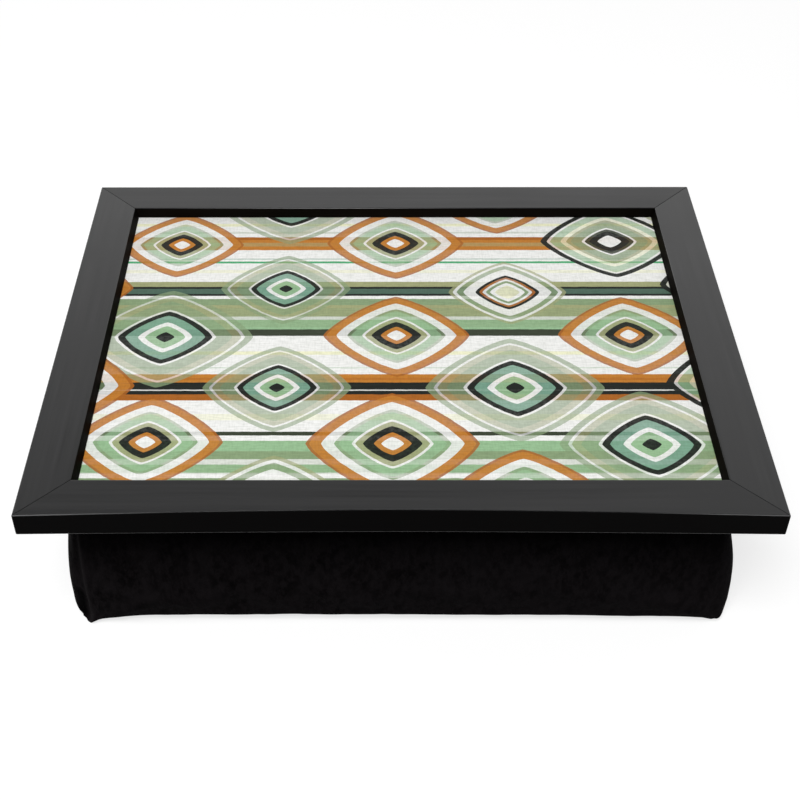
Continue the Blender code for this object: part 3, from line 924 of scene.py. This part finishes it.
def make_cushion():
    """The bead cushion's cover: swelled cloth with sewn seams, flat top and base."""
    mesh = meshed("bead_cushion", bag_shell())
    mesh.shade_smooth()
    obj = link("bead_cushion", mesh, (brushed_cloth(),))
    blow_up(obj)
    subdivision = obj.modifiers.new("finer", "SUBSURF")
    subdivision.levels = 1
    subdivision.render_levels = 1
    bake(obj)
    sew_seams(obj)
    tips = base_tips(obj.data)
    tuck_seam_corner(obj.data, tips[(-1, -1)])
    pull_tips(obj.data, tips)
    settle(obj)
    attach(obj, "cushion")
    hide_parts("cushion_top", "cushion_base", "cushion_wall", "bead_fill")


def sew_seams(obj):
    """Raise each seam as a ridge between two grooves, with small puckers beside it, and store how near
    each point lies to a crest.
    """
    bm = bmesh.new()
    bm.from_mesh(obj.data)
    seam = bm.verts.layers.float["seam"]
    sewn = [edge for edge in bm.edges if all(vertex[seam] > 0.9 for vertex in edge.verts)]
    line = set()
    for edge in sewn:
        line.update(vertex.co.copy().freeze() for vertex in edge.verts)
        line.add(((edge.verts[0].co + edge.verts[1].co) / 2).freeze())
    tree = kdtree.KDTree(len(line))
    for index, place in enumerate(sorted(line, key=lambda co: tuple(co))):
        tree.insert(place, index)
    tree.balance()
    bmesh.ops.bevel(
        bm,
        geom=sewn,
        offset=SEAM_ALLOWANCE,
        segments=SEAM_STEPS,
        profile=SEAM_PROFILE,
        affect="EDGES",
        clamp_overlap=True,
    )
    bm.normal_update()
    seam_crest = bm.verts.layers.float.new("seam_crest")
    for vertex in bm.verts:
        distance = tree.find(vertex.co)[2]
        ridge = hump(distance, SEAM_WIDTH)
        groove = hump(distance - GROOVE_PLACE, SEAM_WIDTH)
        vertex[seam_crest] = ridge
        beside = math.exp(-distance / PUCKER_REACH)
        ripple = noise.noise(vertex.co / PUCKER_LENGTH)
        lift = SEAM_RIDGE * ridge - SEAM_GROOVE * groove + PUCKER_HEIGHT * beside * ripple
        vertex.co += vertex.normal * lift
    bm.to_mesh(obj.data)
    bm.free()


def base_tips(mesh):
    """The four corners of the base, each as the point that reaches out furthest."""
    tips = {}
    for vertex in mesh.vertices:
        if vertex.co.z < TOP_SEAM / 2:
            corner = (math.copysign(1, vertex.co.x), math.copysign(1, vertex.co.y))
            reach = vertex.co.x * corner[0] + vertex.co.y * corner[1] - vertex.co.z
            if corner not in tips or reach > tips[corner][0]:
                tips[corner] = (reach, vertex.co.copy())
    return {corner: tip for corner, (_, tip) in tips.items()}


def ramp(value, low, high):
    """0 below low, 1 above high, and smooth between them."""
    share = min(max((value - low) / (high - low), 0.0), 1.0)
    return share * share * (3 - 2 * share)


def tuck_seam_corner(mesh, tip):
    """Fold the wall in beside the upright seam, over a toe that reaches out at its foot, and store
    painted shade for the fold.
    """
    seam_crest = mesh.attributes["seam_crest"].data
    near_seam = [v for v in mesh.vertices if (v.co.xy - tip.xy).length < POCKET_REACH]
    ridge = [v.co.copy() for v in near_seam if seam_crest[v.index].value > RIDGE_CREST_LEVEL and v.co.z > BASE_SEAM]
    fold_shade = mesh.attributes.new("fold_shade", "FLOAT", "POINT")
    for vertex in near_seam:
        co = vertex.co
        joint = min(ridge, key=lambda point: abs(point.z - co.z))
        aside = joint.x - co.x
        low = 1 - ramp(co.z, POCKET_TOP - POCKET_EDGE, POCKET_TOP)
        gutter = hump(aside - GUTTER_PLACE, GUTTER_WIDTH) * low
        behind = co.y - joint.y
        beyond = ramp(behind, 0.0, TOE_RUN) * ramp(-co.x, -joint.x - TOE_RUN, -joint.x)
        fade = hump(co.z, TOE_SPREAD) * (1 - ramp(behind, *TOE_FADE))
        # How much painted shade the fold gets, stored for the cloth's colour
        shade = ramp(aside, GUTTER_WIDTH / 2, GUTTER_PLACE) * (1 - ramp(behind, *POCKET_FADE))
        fold_shade.data[vertex.index].value = shade * low
        vertex.co += Vector((0, GUTTER_DEPTH * gutter, 0))
        vertex.co += Vector((-TOE_REACH, -TOE_FORWARD * TOE_REACH, 0)) * beyond * fade


def pull_tips(mesh, tips):
    """Pull the base's corners out to points, mostly forwards or back and a little down."""
    for corner, tip in tips.items():
        for vertex in mesh.vertices:
            distance = (vertex.co - tip).length
            if distance < 3 * EAR_TIP_SIZE:
                share = hump(distance, EAR_TIP_SIZE)
                vertex.co += Vector((TIP_ASIDE * corner[0], corner[1], -TIP_DROP)) * EAR_TIP * share


def settle(obj):
    """Add the soft unevenness of beads, and press the top and base flat."""
    normals = [vertex.normal.copy() for vertex in obj.data.vertices]
    for vertex, normal in zip(obj.data.vertices, normals):
        soft = sum(share * noise.noise(vertex.co / size) for size, share in BEAD_WAVES)
        place = vertex.co + normal * UNDULATION * soft
        place.z = min(max(place.z, 0.0), CUSHION_TOP)
        vertex.co = place
    obj.data.shade_smooth()


class Grove(Nodes):
    """A geometry tree in the making, with named inputs."""

    def __init__(self, name):
        super().__init__(bpy.data.node_groups.new(name, "GeometryNodeTree"))
        self.tree.interface.new_socket("Result", in_out="OUTPUT", socket_type="NodeSocketGeometry")
        self.entry = self.node("NodeGroupInput")
        self.exit = self.node("NodeGroupOutput")

    def ask(self, **kinds):
        """New inputs of these names and kinds."""
        for name, kind in kinds.items():
            self.tree.interface.new_socket(name, in_out="INPUT", socket_type="NodeSocket" + kind)
        return [self.entry.outputs[name] for name in kinds]

    def strand(self, places, steps, radius, sides):
        """A tube of thread, bent between its first and last place towards its second."""
        feeds = dict(zip(("Start", "Middle", "End"), places), Resolution=steps)
        bend = self.node("GeometryNodeCurveQuadraticBezier", feeds)
        ring = self.node("GeometryNodeCurvePrimitiveCircle", {"Resolution": sides, "Radius": radius})
        feeds = {"Curve": bend.outputs[0], "Profile Curve": ring.outputs[0], "Fill Caps": True}
        return self.node("GeometryNodeCurveToMesh", feeds).outputs[0]

    def plant(self, points, strand, rotation, material):
        """End the tree with a real strand of a material on each point."""
        feeds = {"Points": points, "Instance": strand, "Rotation": rotation}
        planted = self.node("GeometryNodeInstanceOnPoints", feeds)
        real = self.node("GeometryNodeRealizeInstances", {"Geometry": planted.outputs[0]})
        feeds = {"Geometry": real.outputs[0], "Material": material}
        dressed = self.node("GeometryNodeSetMaterial", feeds)
        self.feed(self.exit.inputs[0], dressed.outputs[0])
        return self.tree


def pile_tree():
    """Bent threads on a jittered grid: hooks where one end is free, loops where both are down."""
    grove = Grove("tape_pile")
    length, width, pitch, radius, swing = grove.ask(
        Length="Float", Width="Float", Pitch="Float", Thread="Float", Swing="Float"
    )
    peak, tip, seed, material = grove.ask(Peak="Vector", Tip="Vector", Seed="Int", Material="Material")
    counts = [grove.calc("ADD", grove.calc("DIVIDE", size, pitch), 1.0) for size in (length, width)]
    feeds = {"Size X": length, "Size Y": width, "Vertices X": counts[0], "Vertices Y": counts[1]}
    grid = grove.node("GeometryNodeMeshGrid", feeds)
    reach = grove.times(pitch, PILE_JITTER_SHARE)
    less = grove.times(reach, -1.0)
    feeds = {"Min": grove.vector(less, less), "Max": grove.vector(reach, reach), "Seed": seed}
    jitter = grove.node("FunctionNodeRandomValue", feeds, data_type="FLOAT_VECTOR")
    feeds = {"Geometry": grid.outputs[0], "Offset": jitter.outputs[0]}
    placed = grove.node("GeometryNodeSetPosition", feeds)
    strand = grove.strand(((0, 0, 0), peak, tip), 5, radius, 4)
    feeds = {2: grove.times(swing, -1.0), 3: swing, "Seed": seed}
    turn = grove.node("FunctionNodeRandomValue", feeds, data_type="FLOAT").outputs[1]
    return grove.plant(placed.outputs[0], strand, grove.vector(z=turn), material)


def stitch_tree():
    """Short humps of thread that follow a path."""
    grove = Grove("stitch_row")
    path, pitch, radius, material = grove.ask(
        Path="Geometry", Pitch="Float", Thread="Float", Material="Material"
    )
    spaced = grove.node("GeometryNodeResampleCurve", {"Curve": path, "Length": pitch}, mode="LENGTH")
    half = grove.times(pitch, STITCH_HALF_SHARE)
    less = grove.times(half, -1.0)
    rise = grove.times(radius, STITCH_RISE)
    places = (grove.vector(less), grove.vector(z=rise), grove.vector(half))
    strand = grove.strand(places, 6, radius, 6)
    tangent = grove.node("GeometryNodeInputTangent").outputs[0]
    aligned = grove.node("FunctionNodeAlignRotationToVector", {"Vector": tangent}, axis="X")
    return grove.plant(spaced.outputs[0], strand, aligned.outputs[0], material)


def grown(name, tree, values, path=None):
    """The plain mesh that a geometry tree makes with these input values."""
    obj = link(name, path or bpy.data.meshes.new(name))
    modifier = obj.modifiers.new(name, "NODES")
    modifier.node_group = tree
    for item in tree.interface.items_tree:
        if item.in_out == "INPUT" and item.name in values:
            modifier[item.identifier] = values[item.name]
    mesh = bpy.data.meshes.new_from_object(evaluated(obj))
    bpy.data.objects.remove(obj)
    return mesh


def rectangle(half_x, half_y):
    """A closed path round a strip."""
    curve = bpy.data.curves.new("stitch_path", "CURVE")
    curve.dimensions = "3D"
    spline = curve.splines.new("POLY")
    spline.points.add(3)
    corners = ((-half_x, -half_y), (half_x, -half_y), (half_x, half_y), (-half_x, half_y))
    for point, (x, y) in zip(spline.points, corners):
        point.co = (x, y, 0, 1)
    spline.use_cyclic_u = True
    return curve


def tape_body(length, width):
    """A strip of tape with rounded edges, lying on z = 0."""
    bm = bmesh.new()
    bmesh.ops.create_cube(bm, size=1)
    bmesh.ops.scale(bm, vec=(length, width, TAPE_THICKNESS), verts=bm.verts)
    bmesh.ops.translate(bm, vec=(0, 0, TAPE_THICKNESS / 2), verts=bm.verts)
    for offset, segments, upright in ((TAPE_CORNER, 3, True), (TAPE_RIM, 2, False)):
        edges = []
        for edge in bm.edges:
            rise = abs(edge.verts[0].co.z - edge.verts[1].co.z)
            if (rise > TAPE_THICKNESS / 2) == upright:
                edges.append(edge)
        bmesh.ops.bevel(bm, geom=edges, offset=offset, segments=segments, profile=0.5, affect="EDGES")
    for face in bm.faces:
        face.smooth = True
    return bm


def add_threads(bm, part, number):
    """Set a mesh of threads on a tape, as its material of this number."""
    vertices, faces = len(bm.verts), len(bm.faces)
    bm.from_mesh(part)
    bm.verts.ensure_lookup_table()
    bm.faces.ensure_lookup_table()
    for vertex in bm.verts[vertices:]:
        vertex.co.z += TAPE_THICKNESS
    for face in bm.faces[faces:]:
        face.material_index = number
        face.smooth = True


def make_tape(kind, side, pile, stitches, materials):
    """One strip of hook or loop tape in place of its plain solid; hooks face down."""
    body, thread_radius, swing, peak, tip = TAPES[kind]
    node = kind + "_strip_" + side
    low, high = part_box(node)
    size = high - low
    turned = size.y > size.x
    length, width = (size.y, size.x) if turned else (size.x, size.y)
    rise = size.z - TAPE_THICKNESS
    values = {
        "Length": length - 2 * SELVEDGE,
        "Width": width - 2 * SELVEDGE,
        "Pitch": PILE_PITCH,
        "Peak": (*peak[:2], rise * peak[2]),
        "Tip": (*tip[:2], rise * tip[2]),
        "Thread": thread_radius,
        "Swing": swing,
        "Seed": sum(ord(letter) for letter in node),
        "Material": materials[1],
    }
    bm = tape_body(length, width)
    add_threads(bm, grown(node + "_pile", pile, values), 1)
    flip = spin(180, "X")
    centre = (low + high) / 2
    centre.z = high.z + TAPE_SEAT
    if kind == "loop":
        path = rectangle(length / 2 - STITCH_INSET, width / 2 - STITCH_INSET)
        values = {"Pitch": STITCH_PITCH, "Thread": STITCH_THREAD, "Material": materials[2]}
        add_threads(bm, grown(node + "_stitches", stitches, values, path), 2)
        flip = Matrix()
        centre.z = low.z - TAPE_SEAT
    turn = spin(90, "Z") if turned else Matrix()
    bmesh.ops.transform(bm, matrix=Matrix.Translation(centre) @ turn @ flip, verts=bm.verts)
    name = kind + "_tape_" + side
    obj = link(name, meshed(name, bm), materials)
    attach(obj, body)
    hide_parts(node)


def make_tapes():
    """Four hook tapes under the board and four loop tapes sewn on the cushion."""
    tape = woven_tape()
    strands = {
        "hook": thread("hook_nylon", (0.008, 0.008, 0.009), (0.018, 0.018, 0.02), 0.3, 0.5),
        "loop": thread("loop_nylon", (0.01, 0.01, 0.011), (0.025, 0.025, 0.026), 0.55, 0.4),
    }
    sewing = thread("sewing_thread", (0.012, 0.012, 0.013), (0.03, 0.03, 0.032), 0.5, 0.4)
    pile = pile_tree()
    stitches = stitch_tree()
    for side in SIDES:
        for kind in TAPES:
            make_tape(kind, side, pile, stitches, (tape, strands[kind], sewing))


def make_camera():
    """The photograph's viewpoint: it looks along +Y, pitched down."""
    data = bpy.data.cameras.new("camera")
    data.lens = LENS_MM
    data.sensor_width = SENSOR_MM
    data.sensor_fit = "HORIZONTAL"
    data.shift_x = SHIFT_SHARE
    camera = link("camera", data)
    yaw = spin(CAMERA_YAW, "Z")
    pitch = spin(90 - CAMERA_PITCH, "X")
    roll = spin(CAMERA_ROLL, "Z")
    camera.matrix_world = Matrix.Translation(CAMERA_PLACE) @ yaw @ pitch @ roll
    bpy.context.scene.camera = camera
    bpy.context.scene.view_settings.view_transform = "Standard"


def make_floor():
    """A white floor that keeps a soft shadow, lifted to plain white where it is seen directly."""
    bm = bmesh.new()
    bmesh.ops.create_grid(bm, x_segments=1, y_segments=1, size=FLOOR_HALF)
    look = Look("floor_white", 0.0, Roughness=0.9)
    rays = look.node("ShaderNodeLightPath").outputs
    seen = look.calc("MAXIMUM", rays["Is Camera Ray"], rays["Is Glossy Ray"])
    seen = look.calc("MAXIMUM", seen, rays["Is Transmission Ray"])
    look.put(
        Base_Color=(FLOOR_TONE, FLOOR_TONE, FLOOR_TONE),
        Emission_Color=(1.0, 1.0, 1.0),
        Emission_Strength=look.times(seen, FLOOR_LIFT),
    )
    link("floor", meshed("floor", bm), (look.material,))


def make_room():
    """A white room, plain to the camera; its light changes with height, depth and side."""
    world = bpy.data.worlds.new("studio")
    world.use_nodes = True
    bpy.context.scene.world = world
    room = Nodes(world.node_tree)
    x, y, z = room.parts(room.node("ShaderNodeTexCoord").outputs["Generated"])
    strength = room.span(room.scaled(x, -ROOM_SKEW, z), *ROOM_FALL)
    strength = room.times(strength, room.span(y, *ROOM_DEPTH))
    strength = room.times(strength, room.span(x, *ROOM_SIDE))
    seen = room.node("ShaderNodeLightPath").outputs["Is Camera Ray"]
    background = room.tree.nodes["Background"].inputs
    room.feed(background[0], (1.0, 1.0, 1.0))
    room.feed(background[1], room.calc("MAXIMUM", seen, strength))


def make_lamp():
    """One large soft lamp, high up at the front left."""
    lamp = bpy.data.lights.new("softbox", "AREA")
    lamp.shape = "SQUARE"
    lamp.size = LAMP_SIZE
    lamp.energy = LAMP_POWER
    obj = link("softbox", lamp)
    away = Vector(LAMP_PLACE).to_track_quat("Z", "Y")
    obj.matrix_world = Matrix.Translation(LAMP_PLACE) @ away.to_matrix().to_4x4()


make_camera()
make_frame()
make_cushion()
make_tapes()
make_floor()
make_room()
make_lamp()
